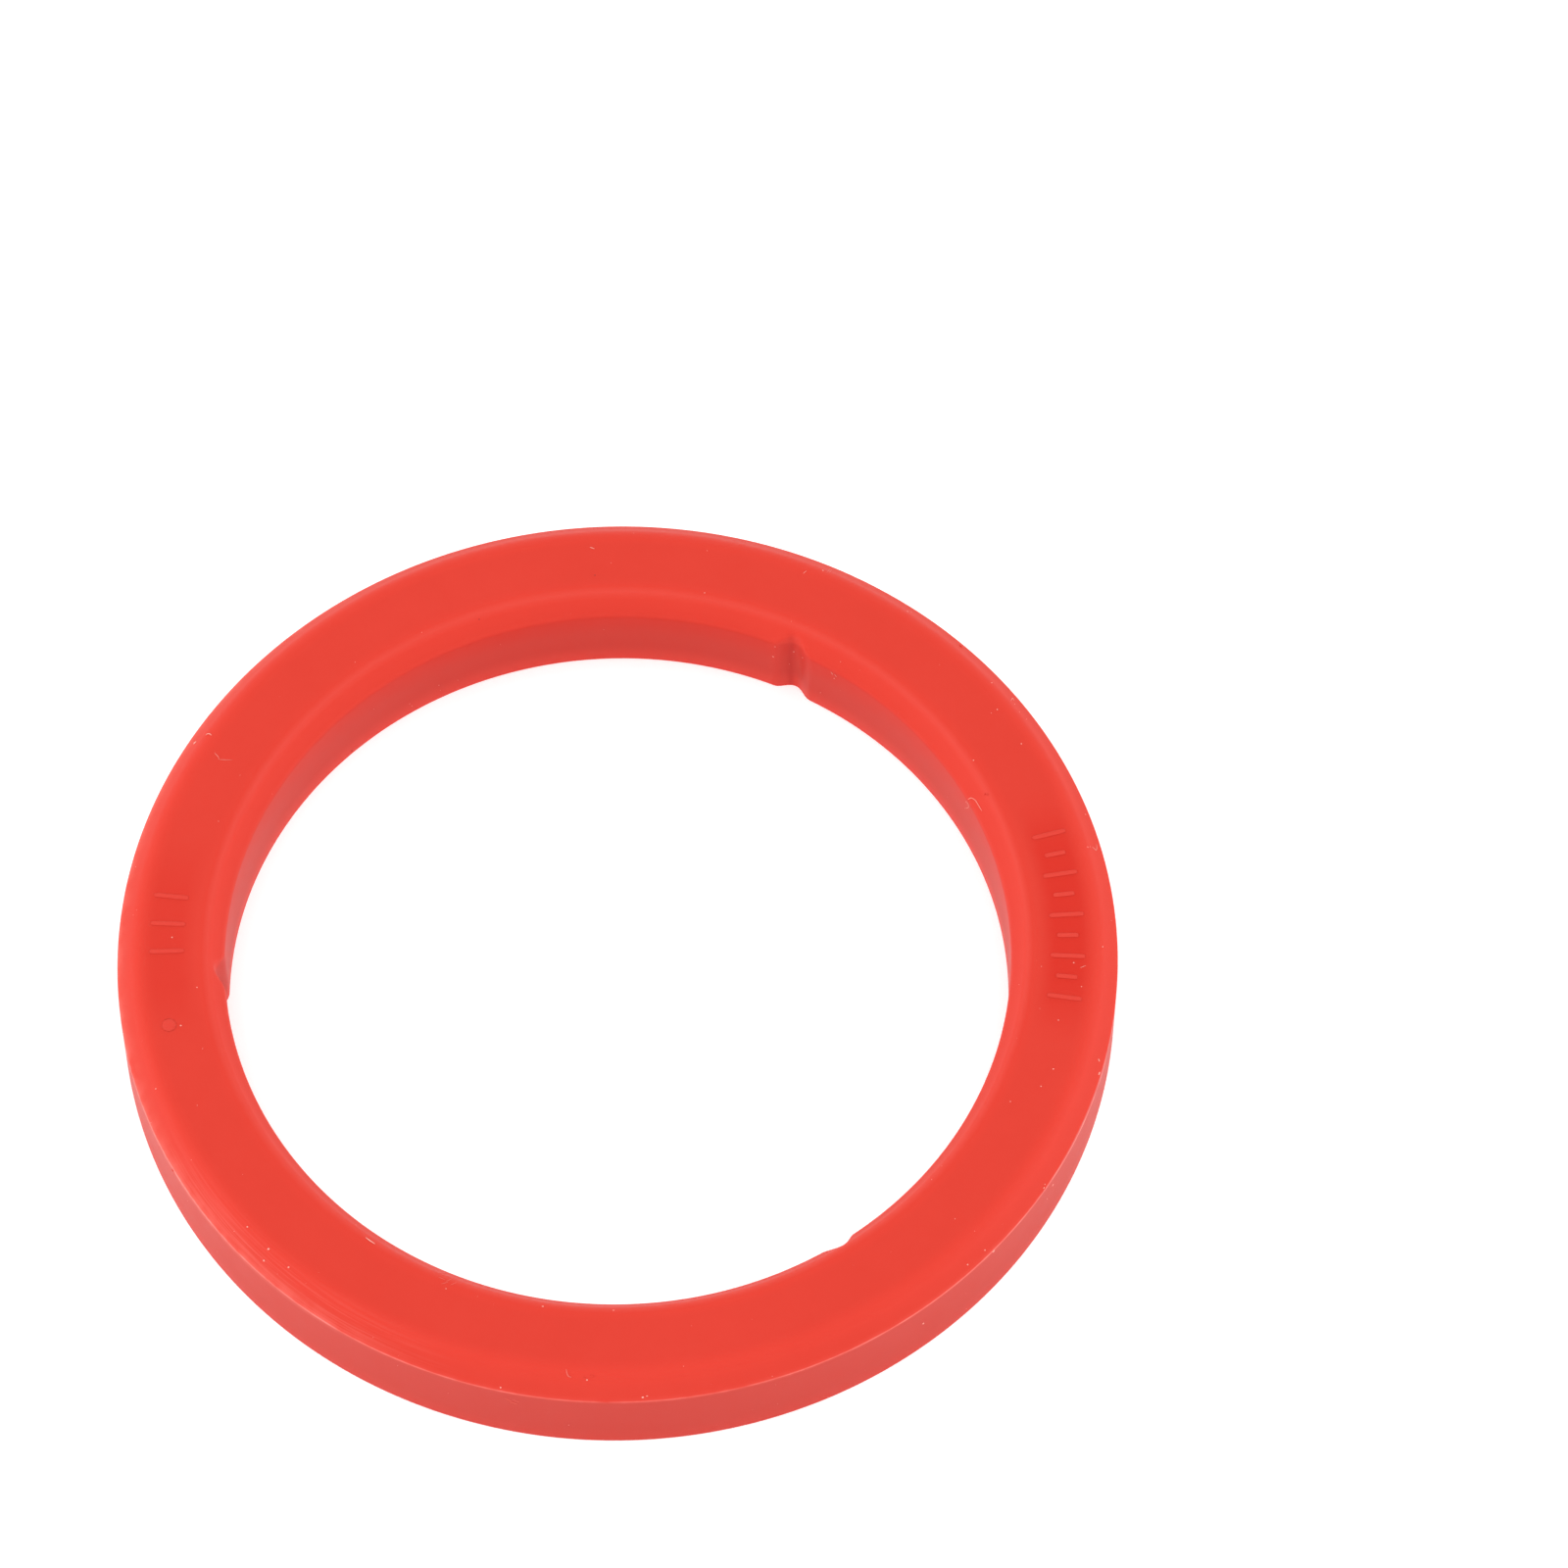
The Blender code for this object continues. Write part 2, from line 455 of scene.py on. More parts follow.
# Painted light: the walls are lighter near the floor, more so in the bore
lit_foot = (1 - ramp(z, *FOOT_FADE)) * (OUTER_FOOT_SHARE + in_bore * MORE_IN_BORE)
head = ramp(z, *HEAD_FADE) * in_bore
# Painted highlights: lighter bands along both ridges, and a thin pale line on the bore's ridge
outer_ridge = band(radius, *OUTER_RIDGE_BAND)
bore_ridge = band(radius, *BORE_RIDGE_BAND) * BORE_RIDGE_SHARE
ridge_highlight_line = band(radius, *RIDGE_LINE_BAND) * (1 - wall)
ridge_highlight = (outer_ridge + bore_ridge) * (1 - wall) * RIDGE_HIGHLIGHT_SHARE
print(f"{len(silicone.node_tree.nodes)} nodes so far")

# %% [markdown]
# ## The moulding line
# The two halves of a mould meet along a line, and a little rubber creeps in between them. On this ring it runs
# where the outer chamfer meets the wall, broken here and there, and it drops down the wall for part of the way
# round. Its paleness is partly painted highlight, stronger at the sides that face the soft boxes, and on one side
# the lip above it carries a painted reflection of a soft box.

# %% A pale line that drops, widens and breaks
LINE_DROP = 0.0008
DROP_BEGINS = (math.radians(-42), math.radians(-12))
DROP_ENDS = (math.radians(20), math.radians(60))
LINE_MIDDLE, LINE_REACH, WIDER_WHERE_DROPPED = -0.00009, 0.00013, 0.00015
BLUR_BAND = (-0.0001, 0.00035)
BLUR_SHARE = 0.2
LINE_LEAST, MORE_AT_SIDES = 0.45, 0.65
LIP_BAND = (LINE_HEIGHT + 0.00005, 0.0009)
LIP_FADE = (0.35, 0.75)
LIP_SHARE = 0.36
LINE_DEPTH = 0.0013
LINE_BREAKS = 700

line_drop = ramp(angle, *DROP_BEGINS) * (1 - ramp(angle, *DROP_ENDS))
above_line = z - LINE_HEIGHT + line_drop * LINE_DROP
moulding_line_and_highlight = band(above_line, LINE_MIDDLE, LINE_REACH + line_drop * WIDER_WHERE_DROPPED)
# A wider band of painted highlight round the line, which is paler still towards the sides that face the soft boxes
moulding_line_and_highlight = moulding_line_and_highlight + band(above_line, *BLUR_BAND) * BLUR_SHARE
across = x / OUTER_RADIUS
moulding_line_and_highlight = moulding_line_and_highlight * (LINE_LEAST + across * across * MORE_AT_SIDES)
# A painted reflection of the left soft box on the lip above the line
lip_reflection = band(z, *LIP_BAND) * ramp(across * -1, *LIP_FADE) * LIP_SHARE
breaks = mottle(here, LINE_BREAKS) * 2 - 0.25
moulding_line_and_highlight = (moulding_line_and_highlight + lip_reflection) * band(radius, OUTER_RADIUS, LINE_DEPTH) * breaks
print(f"{len(silicone.node_tree.nodes)} nodes so far")

# %% The painted shade in each groove, a little to one side of its middle
GROOVE_TURN = 0.013
GROOVE_WALL_FADE = (BORE_RADIUS + 0.0009, BORE_RADIUS + 0.0012)
GROOVE_FLOOR_FADE = (BORE_RADIUS + 0.0003, BORE_RADIUS + 0.0006)
GROOVE_SHADE_REACH = 0.00045
FLANK_BAND = (0.00085, 0.0008)
GROOVE_SHARE, FLANK_SHARE = 0.42, 0.35

half_gap = math.pi / GROOVES
along_bore = (angle - FIRST_GROOVE - GROOVE_TURN).sum("WRAP", half_gap, -half_gap) * BORE_RADIUS
groove_wall = (1 - ramp(radius, *GROOVE_WALL_FADE)) * side
groove_shade = 1 - ramp(along_bore.sum("ABSOLUTE"), 0.0, GROOVE_SHADE_REACH)
groove_shade = groove_shade * ramp(radius, *GROOVE_FLOOR_FADE) * groove_wall
# Painted light along one flank of each groove
lit_groove_flank = band(along_bore, *FLANK_BAND) * groove_wall
print(f"{len(silicone.node_tree.nodes)} nodes so far")

# %% [markdown]
# ## Panels and rings
# The mould's face is polished a little deeper round the gauge marks, which stand proud of it and rub paler. The
# mould was turned on a lathe as well, and its fine rings show where the outer chamfer has been rubbed.
# Stretching the noise along the ring makes rings of it: its coordinates are the radius, the height and only a
# little of the angle.

# %% Panels round the marks, and the lathe's rings
MARK_RADIUS = 0.0328
PANEL_FADE = (0.0008, 0.0022)
PANEL_SHARE, LEFT_PANEL_SHARE = 0.8, 0.5
RIGHT_PANEL, RIGHT_PANEL_FADE = math.radians(4), (math.radians(8), math.radians(20))
LEFT_PANEL, LEFT_PANEL_FADE = math.radians(178), (math.radians(4), math.radians(14))
RAISED_FADE = (HEIGHT + 0.00001, HEIGHT + 0.00004)
RING_DRIFT = 0.0008
TURNING_MARKS, FINE_RINGS = 2600, 6500
RUBBED_ARC, RUBBED_ARC_FADE = math.radians(-131), (math.radians(9), math.radians(26))
SCUFF_FADE = (0.40, 0.66)
SCUFF_BAND = (OUTER_RADIUS - 0.0007, 0.0014)

panel = (1 - ramp((radius - MARK_RADIUS).sum("ABSOLUTE"), *PANEL_FADE)) * (1 - wall) * PANEL_SHARE
on_right = 1 - ramp((angle - RIGHT_PANEL).sum("ABSOLUTE"), *RIGHT_PANEL_FADE)
on_left = 1 - ramp((angle.sum("ABSOLUTE") - LEFT_PANEL).sum("ABSOLUTE"), *LEFT_PANEL_FADE)
raised = ramp(z, *RAISED_FADE)

turned = net.add("ShaderNodeCombineXYZ", {}, {"X": radius, "Y": z, "Z": angle * RING_DRIFT})
turning_marks = mottle(turned, TURNING_MARKS, 1.0)
fine_rings = mottle(turned, FINE_RINGS, 1.0)
rubbed_arc = 1 - ramp((angle - RUBBED_ARC).sum("ABSOLUTE"), *RUBBED_ARC_FADE)
scuffs = ramp(fine_rings, *SCUFF_FADE) * rubbed_arc * band(radius, *SCUFF_BAND) * (1 - wall)
print(f"{len(silicone.node_tree.nodes)} nodes so far")

# %% All the colours laid over each other
RIDGE_LINE_SHARE = 0.12
SCUFF_SHARE = 0.20

# Painted shade on the walls, with a deeper red towards the top of the bore's wall
shaded_wall_colour = mix(head, mix(in_bore, OUTER_WALL_SHADED_RED, BORE_WALL_SHADED_RED), BORE_HEAD_RED)
body_colour = mix(wall, mix(clouds, DEEP_RED, CLEAR_RED), mix(lit_foot, shaded_wall_colour, PAINTED_LIGHT_RED))
body_colour = mix(ridge_highlight_line * RIDGE_LINE_SHARE, body_colour, PALE_RED)
body_colour = mix(scuffs * SCUFF_SHARE, body_colour, PALE_RED)
body_colour = mix(panel * (on_right + on_left * LEFT_PANEL_SHARE), body_colour, PANEL_RED)
body_colour = mix(lit_groove_flank * FLANK_SHARE, body_colour, PAINTED_LIGHT_RED)
body_colour = mix(groove_shade * GROOVE_SHARE, body_colour, GROOVE_SHADE_RED)
body_colour = mix(raised, mix(ridge_highlight, body_colour, RIDGE_HIGHLIGHT_RED), RAISED_RED)
colour = mix(moulding_line_and_highlight.sum("MINIMUM", 1.0), body_colour, PALE_RED)
print(f"{len(silicone.node_tree.nodes)} nodes so far")

# %% Relief, gloss and the finished shader
SKIN = 1600

relief = turning_marks * 0.6 + mottle(here, SKIN, 1.0) * 0.4
bumped = net.add(
    "ShaderNodeBump", {}, {"Strength": 0.10, "Distance": 0.00002, "Height": relief}, "Normal"
)
roughness = FACE_ROUGHNESS + side * (CHAMFER_ROUGHNESS - FACE_ROUGHNESS)
roughness = roughness + wall * (WALL_ROUGHNESS - CHAMFER_ROUGHNESS)
shader = net.add(
    "ShaderNodeBsdfPrincipled",
    {"subsurface_method": "RANDOM_WALK"},
    {
        "Base Color": colour,
        "Roughness": roughness + (clouds - 0.5) * CLOUD_ROUGHNESS,
        "IOR": 1.41,
        "Specular IOR Level": 0.157,
        "Subsurface Weight": 0.12,
        "Subsurface Radius": (1.0, 0.22, 0.14),
        "Subsurface Scale": 0.0012,
        "Normal": bumped,
    },
)
net.add("ShaderNodeOutputMaterial", {}, {"Surface": shader})
print(f"silicone ready, with {len(silicone.node_tree.nodes)} nodes")

# %% [markdown]
# ## Sweep the outline and press the grooves in
# Geometry Nodes can do what the mould maker's lathe and cutter did. The outline is swept along a circle, and
# then every point on the bore is pushed outward to at least the groove's own radius for its angle. The groove
# is a smooth swell, so its lips stay soft, and its count, width and depth are inputs of the tree.

# %% The tree that sweeps and grooves
COLUMNS = 720
LIP_SOFTNESS = 0.00035
LEAST_SOFTNESS = 0.000001
PATH_RADIUS = OUTER_RADIUS - WIDTH / 2

ring_tree, net = new_tree("swept_ring")
sizes = {
    "Path radius": ("NodeSocketFloat", PATH_RADIUS),
    "Bore radius": ("NodeSocketFloat", BORE_RADIUS),
    "Columns": ("NodeSocketInt", COLUMNS),
    "Grooves": ("NodeSocketFloat", float(GROOVES)),
    "First groove": ("NodeSocketFloat", FIRST_GROOVE),
    "Groove half turn": ("NodeSocketFloat", GROOVE_WIDTH / 2 / BORE_RADIUS),
    "Groove depth": ("NodeSocketFloat", GROOVE_DEPTH),
    "Lip softness": ("NodeSocketFloat", LIP_SOFTNESS),
    "Material": ("NodeSocketMaterial", silicone),
}
ring_values = [input_value(ring_tree, name, kind, value) for name, (kind, value) in sizes.items()]

given = net.add("NodeGroupInput", out="Geometry")
path = net.add(
    "GeometryNodeCurvePrimitiveCircle",
    {"mode": "RADIUS"},
    {"Resolution": net.other(given, "Columns"), "Radius": net.other(given, "Path radius")},
)
level_path = net.add("GeometryNodeSetCurveNormal", {"mode": "Z_UP"}, {"Curve": path})
profile = net.add("GeometryNodeMeshToCurve", {}, {"Mesh": given})
swept = net.add("GeometryNodeCurveToMesh", {}, {"Curve": level_path, "Profile Curve": profile})

place = net.add("GeometryNodeInputPosition")
x = net.add("ShaderNodeSeparateXYZ", {}, {0: place}, "X")
y, z = net.other(x, "Y"), net.other(x, "Z")
radius = (x * x + y * y).sum("SQRT")
angle = y.sum("ARCTAN2", x)
half_gap = math.pi / net.other(given, "Grooves")
turn = (angle - net.other(given, "First groove")).sum("WRAP", half_gap, half_gap * -1)
share = (turn / net.other(given, "Groove half turn")).sum("MINIMUM", 1.0).sum("MAXIMUM", -1.0)
swell = ((share * math.pi).sum("COSINE") + 1) * 0.5
groove_radius = net.other(given, "Bore radius") + swell * net.other(given, "Groove depth")
softness = net.other(given, "Lip softness") * swell + LEAST_SOFTNESS
pressed = radius.sum("SMOOTH_MAX", groove_radius, softness)
moved_x, moved_y = angle.sum("COSINE") * pressed, angle.sum("SINE") * pressed
moved = net.add("ShaderNodeCombineXYZ", {}, {"X": moved_x, "Y": moved_y, "Z": z})
grooved = net.add("GeometryNodeSetPosition", {}, {"Geometry": swept, "Position": moved})
smooth = net.add("GeometryNodeSetShadeSmooth", {}, {0: grooved})
whole = net.add("GeometryNodeRealizeInstances", {}, {"Geometry": smooth})
finished = net.add("GeometryNodeSetMaterial", {}, {"Geometry": whole, "Material": net.other(given, "Material")})
net.add("NodeGroupOutput", {}, {"Geometry": finished})
print(f"sweeping tree of {len(ring_tree.nodes)} nodes")

# %% The ring itself
profile_mesh = bpy.data.meshes.new("ring_outline")
points = [(point.x - PATH_RADIUS, -point.y, 0) for point in outline]
profile_mesh.from_pydata(points, [(i, (i + 1) % len(points)) for i in range(len(points))], [])
ring = grow("silicone_ring", profile_mesh, ring_tree, ring_values)


def volume(mesh):
    """The volume that a closed mesh holds. It comes out negative if its faces point inwards."""
    mesh.calc_loop_triangles()
    points = [mesh.vertices[index].co for triangle in mesh.loop_triangles for index in triangle.vertices]
    first, second, third = np.array(points).reshape(-1, 3, 3).transpose(1, 0, 2)
    return float(np.einsum("ij,ij->i", first, np.cross(second, third)).sum() / 6)


if volume(ring.data) < 0:
    ring.data.flip_normals()
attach(ring, "root")
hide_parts("gasket_ring")
heights = [vertex.co.z for vertex in ring.data.vertices]
print(f"ring: {len(ring.data.polygons)} faces, {volume(ring.data) * 1e9:.0f} cubic mm,")
print(f"from {min(heights) * 1000:.2f} to {max(heights) * 1000:.2f} mm high")

# %% [markdown]
# ## From a pixel to a place on the ring
# The small things on the ring are put where the photograph shows them. A line of sight through a pixel meets
# the ring at one place, and that place and its outward direction are all that a grain or a thread needs to sit
# on the surface from every side.

# %% Where a line of sight meets the ring
IMAGE_SIDE = 1600
PIXELS_PER_LENS = LENS / SENSOR * IMAGE_SIDE
ring_surface = BVHTree.FromObject(ring, bpy.context.evaluated_depsgraph_get())


def seen_at(u, v):
    """The place on the ring behind a pixel of the photograph, and the outward direction there."""
    half = IMAGE_SIDE / 2
    sight = camera_right * (u - half) / PIXELS_PER_LENS - camera_up * (v - half) / PIXELS_PER_LENS - camera_back
    place, outward, _, _ = ring_surface.ray_cast(camera_place, sight.normalized())
    if place is None:
        raise ValueError(f"pixel {u}, {v} misses the ring")
    return place, outward


print("middle of the front flat:", tuple(round(c * 1000, 2) for c in seen_at(620, 1370)[0]))

# %% [markdown]
# ## Plain raised gauge marks
# A mould often leaves small raised bars on a flat face, which say which cavity a part came from. These plain bars
# are cut less than a tenth of a millimetre into the mould, so they stand that high. Each is the same rounded bar,
# instanced on a point with its own heading, length and breadth, half sunk in the face so that no gap can show.

# %% Bars on points
MARK_WIDTH = 0.00038
MARK_HEIGHT = 0.00014
LONG_MARK = 0.0026
SHORT_MARK = 0.0016


def points_mesh(name, places, **facts):
    """A mesh of loose points, with a named number or direction kept on each."""
    mesh = bpy.data.meshes.new(name)
    mesh.from_pydata(places, [], [])
    for fact, values in facts.items():
        kind = "FLOAT_VECTOR" if isinstance(values[0], (Vector, tuple)) else "FLOAT"
        attribute = mesh.attributes.new(fact, kind, "POINT")
        flat = [c for value in values for c in value] if kind == "FLOAT_VECTOR" else list(values)
        attribute.data.foreach_set("vector" if kind == "FLOAT_VECTOR" else "value", flat)
    return mesh


def kept(net, name, kind="FLOAT"):
    """Reads a named attribute in a geometry tree."""
    return net.add("GeometryNodeInputNamedAttribute", {"data_type": kind}, {"Name": name}, "Attribute")


mark_tree, net = new_tree("raised_marks")
mark_values = [
    input_value(mark_tree, "Height", "NodeSocketFloat", MARK_HEIGHT),
    input_value(mark_tree, "Material", "NodeSocketMaterial", silicone),
]
given = net.add("NodeGroupInput", out="Geometry")
bar_size = net.add("ShaderNodeCombineXYZ", {}, {"X": 1.0, "Y": 1.0, "Z": net.other(given, "Height")})
bar_points = {"Vertices X": 5, "Vertices Y": 3, "Vertices Z": 2}
bar = net.add("GeometryNodeMeshCube", {}, {"Size": bar_size, **bar_points}, "Mesh")
soft_bar = net.add("GeometryNodeSubdivisionSurface", {}, {"Mesh": bar, "Level": 2})
heading = net.add("ShaderNodeCombineXYZ", {}, {"Z": kept(net, "heading")})
stretch = net.add("ShaderNodeCombineXYZ", {}, {"X": kept(net, "length"), "Y": kept(net, "breadth"), "Z": 1.0})
turned_bars = net.add(
    "GeometryNodeInstanceOnPoints",
    {},
    {"Points": given, "Instance": soft_bar, "Rotation": heading, "Scale": stretch},
)
whole = net.add("GeometryNodeRealizeInstances", {}, {"Geometry": turned_bars})
smooth = net.add("GeometryNodeSetShadeSmooth", {}, {0: whole})
finished = net.add("GeometryNodeSetMaterial", {}, {"Geometry": smooth, "Material": net.other(given, "Material")})
net.add("NodeGroupOutput", {}, {"Geometry": finished})
print(f"marking tree of {len(mark_tree.nodes)} nodes")

# %% Where the bars stand
RIGHT_HEADINGS = range(-8, 17, 3)
LEFT_HEADINGS = (174.2, 178.2, 182.2)

marks = [
    (heading, SHORT_MARK if step % 2 else LONG_MARK, MARK_WIDTH) for step, heading in enumerate(RIGHT_HEADINGS)
]
marks += [(heading, LONG_MARK, MARK_WIDTH) for heading in LEFT_HEADINGS]
headings, lengths, breadths = zip(*marks)
headings = [math.radians(heading) for heading in headings]
mark_places = [(MARK_RADIUS * math.cos(turn), MARK_RADIUS * math.sin(turn), HEIGHT) for turn in headings]
mark_points = points_mesh("mark_points", mark_places, heading=headings, length=lengths, breadth=breadths)
gauge_marks = grow("gauge_marks", mark_points, mark_tree, mark_values)
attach(gauge_marks, "root")
print(f"{len(marks)} raised marks, {len(gauge_marks.data.polygons)} faces")

# %% [markdown]
# ## Dust, grains and threads
# Silicone draws dust. Most of it is a fine scatter of pale grains, which Geometry Nodes can spread over the faces
# with a fixed seed, so that every run gives the same ones. The larger grains, the bits of thread and the rubbed
# places are put where the photograph has them. They are tiny closed bodies half sunk in the surface, because dust
# that is only painted on the ring would vanish in the mesh.

# %% Finishes of what lies on the ring
DUST_MOTTLE = 900.0
DARKER_SHARE = 0.8


def plain_finish(name, colour, roughness):
    """A dull finish with a little mottling, for dust and threads."""
    material = bpy.data.materials.new(name)
    material.use_nodes = True
    material.node_tree.nodes.clear()
    net = Net(material.node_tree)
    here = net.add("ShaderNodeTexCoord", out="Object")
    clouds = net.add("ShaderNodeTexNoise", {}, {"Vector": here, "Scale": DUST_MOTTLE, "Detail": 1.0}, "Fac")
    darker = tuple(c * DARKER_SHARE for c in colour[:3]) + (1,)
    tints = {"Factor": clouds, MIX_A: darker, MIX_B: colour}
    tint = net.add("ShaderNodeMix", {"data_type": "RGBA"}, tints, MIX_RESULT)
    shader = net.add("ShaderNodeBsdfPrincipled", {}, {"Base Color": tint, "Roughness": roughness})
    net.add("ShaderNodeOutputMaterial", {}, {"Surface": shader})
    return material


pale_dust = plain_finish("pale_dust", (0.82, 0.34, 0.28, 1), 0.8)
dark_dust = plain_finish("dark_dust", (0.22, 0.015, 0.012, 1), 0.8)
rubbed_silicone = plain_finish("rubbed_silicone", (0.72, 0.11, 0.08, 1), 0.6)
print("three finishes ready")

# %% Fine dust, scattered by a tree
DUST_DENSITY = 30000.0
DUST_SEED, SIZE_SEED = 11, 5
FINEST, COARSEST = 0.000010, 0.000034
MOST_TILTED = -0.5

dust_tree, net = new_tree("scattered_dust")
dust_values = [
    input_value(dust_tree, "Density", "NodeSocketFloat", DUST_DENSITY),
    input_value(dust_tree, "Seed", "NodeSocketInt", DUST_SEED),
    input_value(dust_tree, "Finest", "NodeSocketFloat", FINEST),
    input_value(dust_tree, "Coarsest", "NodeSocketFloat", COARSEST),
    input_value(dust_tree, "Material", "NodeSocketMaterial", pale_dust),
]
given = net.add("NodeGroupInput", out="Geometry")
facing = net.add("ShaderNodeSeparateXYZ", {}, {0: net.add("GeometryNodeInputNormal")}, "Z")
open_to_dust = net.add(
    "FunctionNodeCompare", {"data_type": "FLOAT", "operation": "GREATER_THAN"}, {0: facing, 1: MOST_TILTED}
)
density, seed = net.other(given, "Density"), net.other(given, "Seed")
spread = net.add(
    "GeometryNodeDistributePointsOnFaces",
    {"distribute_method": "RANDOM"},
    {"Mesh": given, "Selection": open_to_dust, "Density": density, "Seed": seed},
    "Points",
)
grain = net.add("GeometryNodeMeshIcoSphere", {}, {"Radius": 1.0, "Subdivisions": 1}, "Mesh")
size = net.add(
    "FunctionNodeRandomValue",
    {"data_type": "FLOAT"},
    {"Min": net.other(given, "Finest"), "Max": net.other(given, "Coarsest"), "Seed": SIZE_SEED},
    "Value",
)
grains = net.add("GeometryNodeInstanceOnPoints", {}, {"Points": spread, "Instance": grain, "Scale": size})
whole = net.add("GeometryNodeRealizeInstances", {}, {"Geometry": grains})
finished = net.add("GeometryNodeSetMaterial", {}, {"Geometry": whole, "Material": net.other(given, "Material")})
net.add("NodeGroupOutput", {}, {"Geometry": finished})

fine_dust = grow("fine_dust", ring.data.copy(), dust_tree, dust_values)
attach(fine_dust, "root")
print(f"fine dust: {len(fine_dust.data.polygons)} faces")

# %% A tree for larger grains, each at its own place
MICRONS = 1e6

grain_tree, net = new_tree("placed_grains")
grain_material, _ = input_value(grain_tree, "Material", "NodeSocketMaterial", None)
given = net.add("NodeGroupInput", out="Geometry")
grain = net.add("GeometryNodeMeshIcoSphere", {}, {"Radius": 1.0, "Subdivisions": 2}, "Mesh")
outward, along = kept(net, "outward", "FLOAT_VECTOR"), kept(net, "along", "FLOAT_VECTOR")
laid = net.add(
    "FunctionNodeAxesToRotation",
    {"primary_axis": "Z", "secondary_axis": "X"},
    {"Primary Axis": outward, "Secondary Axis": along},
)
breadth = kept(net, "size")
length, rise = breadth * kept(net, "stretch"), breadth * kept(net, "rise")
shape = net.add("ShaderNodeCombineXYZ", {}, {"X": length, "Y": breadth, "Z": rise})
grains = net.add(
    "GeometryNodeInstanceOnPoints", {}, {"Points": given, "Instance": grain, "Rotation": laid, "Scale": shape}
)
whole = net.add("GeometryNodeRealizeInstances", {}, {"Geometry": grains})
smooth = net.add("GeometryNodeSetShadeSmooth", {}, {0: whole})
finished = net.add("GeometryNodeSetMaterial", {}, {"Geometry": smooth, "Material": net.other(given, "Material")})
net.add("NodeGroupOutput", {}, {"Geometry": finished})
print(f"grain tree of {len(grain_tree.nodes)} nodes")


def place_grains(name, grains, material, rise=0.8):
    """Grains on the ring, from the pixel, radius in microns, stretch and slant in degrees of each."""
    places, outwards, along, sizes, stretches = [], [], [], [], []
    for u, v, microns, stretch, slant in grains:
        place, outward = seen_at(u, v)
        slant = math.radians(slant)
        across = camera_right * math.cos(slant) + camera_up * math.sin(slant)
        along.append((across - outward * across.dot(outward)).normalized())
        outwards.append(outward)
        places.append(place)
        sizes.append(microns / MICRONS)
        stretches.append(stretch)
    rises = [rise] * len(places)
    facts = {"outward": outwards, "along": along, "size": sizes, "stretch": stretches, "rise": rises}
    points = points_mesh(name, places, **facts)
    piece = grow(name, points, grain_tree, [(grain_material, material)])
    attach(piece, "root")
    print(f"{name}: {len(places)}")
    return piece


# %% Dust, moulding bumps and the pip
pale_grains = [
    (198.9, 758, 78, 1.9, 55), (274, 1274.5, 70, 1.3, 0), (269.3, 1286.3, 70, 1.0, 0),
    (252.4, 1251.9, 55, 1.2, 0), (294.5, 1293.1, 60, 1.2, 0), (510.9, 1415.8, 60, 1.0, 0),
    (655.9, 1425.8, 65, 1.3, 0), (660.3, 1424.5, 30, 2.5, 15), (942, 1350.4, 75, 1.0, 0),
    (1121.3, 1081.8, 55, 2.0, -50), (1121.6, 1095.4, 60, 2.4, 45), (1074.1, 1209.1, 64, 1.6, 80),
    (1068.5, 1223.4, 38, 1.0, 0), (1074.8, 1090.8, 48, 1.2, 0), (1062.3, 1108.5, 48, 1.0, 0),
    (599, 1408.1, 50, 1.2, 0), (1125.1, 966.1, 50, 1.0, 0), (1103.5, 1006.8, 40, 1.0, 0),
    (1109.9, 864.4, 35, 1.5, 0), (839.8, 582.1, 42, 1.9, 85), (851.3, 692.3, 45, 1.0, 0),
    (553.9, 1333.1, 45, 1.8, 0), (1013.6, 1276.8, 75, 1.6, 30), (1080, 1041, 45, 1.0, 0),
    (1031, 1124, 40, 1.0, 0), (626, 1337, 40, 1.8, 0), (159, 1111, 50, 1.0, 0), (719, 605, 40, 1.0, 0),
    (791, 660, 40, 1.0, 0), (789, 670, 48, 1.5, -30), (810, 665, 45, 1.0, 0), (819, 671, 42, 1.2, 90),
    (455.1, 1315, 40, 1.0, 0), (713, 543, 35, 1.0, 0), (1095.6, 982.4, 55, 1.0, 0),
    (175.5, 956.5, 55, 1.0, 0), (184.5, 1046.5, 55, 1.3, 0), (201, 1007.5, 35, 1.6, 0),
    (926, 624, 35, 1.5, -20), (930, 624.6, 28, 1.2, 0), (1012, 696.8, 45, 1.0, 0), (1017.6, 724, 50, 1.0, 0),
    (1035.6, 718.4, 28, 1.2, 0), (1040.4, 726.6, 30, 1.0, 0), (1047.4, 734, 30, 1.0, 0),
    (1042.2, 759, 48, 1.0, 0), (993.4, 775.8, 48, 1.0, 0), (1107.6, 831, 40, 1.2, 0),
    (987.4, 1290.4, 50, 1.2, 0), (1005, 1275.6, 45, 1.4, 0), (1065.4, 1212.2, 62, 1.4, 50),
    (1066.2, 1208.6, 40, 1.0, 0),
]
place_grains("pale_grains", pale_grains, pale_dust)
dark_grains = [(607, 587, 40, 1.4, 0), (489, 632, 40, 1.2, 0), (359, 766, 42, 1.3, 30)]
place_grains("dark_grains", dark_grains, dark_dust)
bumps = [
    (1004.9, 810.4, 95, 1.0, 0), (1007.6, 810.4, 90, 1.0, 0), (604, 1404.1, 90, 1.0, 0), (596.8, 1406, 60, 1.6, 0),
    (176.4, 1194.1, 95, 1.3, 80), (1065.8, 1212.5, 90, 1.2, 50), (980.6, 659.6, 95, 1.6, -35),
]
moulding_bumps = place_grains("moulding_bumps", bumps, silicone)
pip = place_grains("pip", [(172.5, 1046, 560, 1.0, 0)], silicone, rise=0.11)

# %% A tree for bits of thread and rubbed streaks
END_SHARE = 0.5

